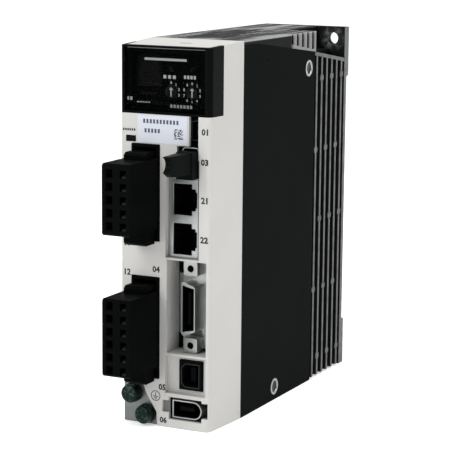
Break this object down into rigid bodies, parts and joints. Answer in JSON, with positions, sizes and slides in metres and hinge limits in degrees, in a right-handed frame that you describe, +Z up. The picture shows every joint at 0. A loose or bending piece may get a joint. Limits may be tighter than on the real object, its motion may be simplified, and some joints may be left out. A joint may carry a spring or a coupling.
{
  "type": "servo drive",
  "caption": "Book-style AC servo drive with light front cover, finned heat sink, plug-in power connectors, network and signal sockets, and a lidded display with address dials.",
  "frame": {"origin": "middle of the bottom face of the whole box, plugs fitted", "axes": "+Z up, the front with its sockets looks along -Y, the finned side looks along +X"},
  "size_m": [0.04, 0.1536, 0.15],
  "materials": {
    "cover_plastic": "fine grained light grey moulding",
    "case_plastic": "fine grained black moulding",
    "side_coat": "matt black coat",
    "sink_coat": "matt black coat on a casting",
    "screw_black": "black plated steel",
    "bezel_gloss": "semi gloss black moulding",
    "lid_smoke": "smoked clear plastic",
    "panel_black": "black printed panel",
    "board": "green lacquered laminate",
    "part_black": "black component moulding",
    "dial_white": "white moulding",
    "lamp_lens": "tinted clear plastic",
    "charge_red": "dark red clear plastic",
    "label_paper": "satin white film",
    "shell_metal": "tin plated steel",
    "contact_gold": "gold plated contacts",
    "insulator_beige": "beige moulding",
    "plug_black": "satin black moulding",
    "spring_steel": "spring steel",
    "earth_steel": "plated steel",
    "screw_green": "green plated steel",
    "pillar_brass": "turned brass",
    "pad_grey": "soft heat conducting pad",
    "can_sleeve": "dark blue sleeve",
    "winding": "yellow taped winding",
    "relay_case": "blue moulding",
    "choke_coat": "lacquered copper winding"
  },
  "bodies": {
    "drive": {"front_cover": "cover_plastic", "case_shell": "case_plastic", "side_plate": "side_coat", "side_screws": "screw_black", "heat_sink": "sink_coat", "display_bezel": "bezel_gloss", "panel_plate": "panel_black", "display_board": "board", "digit_display": "part_black", "status_lamps": "lamp_lens", "monitor_socket": "insulator_beige", "tens_switch": "part_black", "units_switch": "part_black", "charge_lens": "charge_red", "charge_lamp": "charge_red", "rating_label": "label_paper", "usb_socket": "shell_metal", "usb_tongue": "part_black", "safety_socket": "shell_metal", "network_jacks": "shell_metal", "network_contacts": "contact_gold", "io_shell": "shell_metal", "io_insert": "part_black", "io_contacts": "contact_gold", "io_jack_posts": "shell_metal", "scale_socket": "part_black", "scale_insert": "shell_metal", "encoder_shell": "shell_metal", "encoder_insert": "part_black", "mains_header": "plug_black", "motor_header": "plug_black", "header_pins": "shell_metal", "earth_plate": "earth_steel", "earth_screws": "screw_green", "earth_washers": "screw_green", "control_board": "board", "power_board": "board", "board_pillars": "pillar_brass", "board_screws": "shell_metal", "board_link": "insulator_beige", "power_module": "part_black", "thermal_pad": "pad_grey", "rectifier": "part_black", "bus_capacitors": "can_sleeve", "transformer": "winding", "inrush_relay": "relay_case", "line_choke": "choke_coat", "control_chips": "part_black"},
    "lid": {"display_lid": "lid_smoke"},
    "tens_rotor": {"tens_dial": "dial_white"},
    "units_rotor": {"units_dial": "dial_white"},
    "bypass_plug": {"safety_plug": "plug_black"},
    "mains_connector": {"mains_plug": "plug_black", "mains_springs": "spring_steel"},
    "mains_upper_latch": {"mains_latch_upper": "plug_black"},
    "mains_lower_latch": {"mains_latch_lower": "plug_black"},
    "motor_connector": {"motor_plug": "plug_black", "motor_springs": "spring_steel"},
    "motor_upper_latch": {"motor_latch_upper": "plug_black"},
    "motor_lower_latch": {"motor_latch_lower": "plug_black"}
  },
  "joints": [
    {"name": "lid_hinge", "type": "hinge", "parent": "drive", "child": "lid", "pos_m": [-0.0016, -0.05225, 0.1249], "axis": [1, 0, 0], "range_deg": [0, 100]},
    {"name": "tens_turn", "type": "hinge", "parent": "drive", "child": "tens_rotor", "pos_m": [-0.0007, -0.04845, 0.1311], "axis": [0, -1, 0], "continuous": true},
    {"name": "units_turn", "type": "hinge", "parent": "drive", "child": "units_rotor", "pos_m": [0.0083, -0.04845, 0.1311], "axis": [0, -1, 0], "continuous": true},
    {"name": "bypass_pull", "type": "slide", "parent": "drive", "child": "bypass_plug", "axis": [0, -1, 0], "range_m": [0, 0.02]},
    {"name": "mains_pull", "type": "slide", "parent": "drive", "child": "mains_connector", "axis": [0, -1, 0], "range_m": [0, 0.03]},
    {"name": "motor_pull", "type": "slide", "parent": "drive", "child": "motor_connector", "axis": [0, -1, 0], "range_m": [0, 0.03]},
    {"name": "mains_upper_press", "type": "hinge", "parent": "mains_connector", "child": "mains_upper_latch", "pos_m": [-0.0095, -0.04585, 0.1049], "axis": [-1, 0, 0], "range_deg": [0, 4], "stiffness_Nm_per_rad": 0.05},
    {"name": "mains_lower_press", "type": "hinge", "parent": "mains_connector", "child": "mains_lower_latch", "pos_m": [-0.0095, -0.04585, 0.0797], "axis": [1, 0, 0], "range_deg": [0, 4], "stiffness_Nm_per_rad": 0.05},
    {"name": "motor_upper_press", "type": "hinge", "parent": "motor_connector", "child": "motor_upper_latch", "pos_m": [-0.0095, -0.04585, 0.0532], "axis": [-1, 0, 0], "range_deg": [0, 4], "stiffness_Nm_per_rad": 0.05},
    {"name": "motor_lower_press", "type": "hinge", "parent": "motor_connector", "child": "motor_lower_latch", "pos_m": [-0.0095, -0.04585, 0.0252], "axis": [1, 0, 0], "range_deg": [0, 4], "stiffness_Nm_per_rad": 0.05}
  ]
}
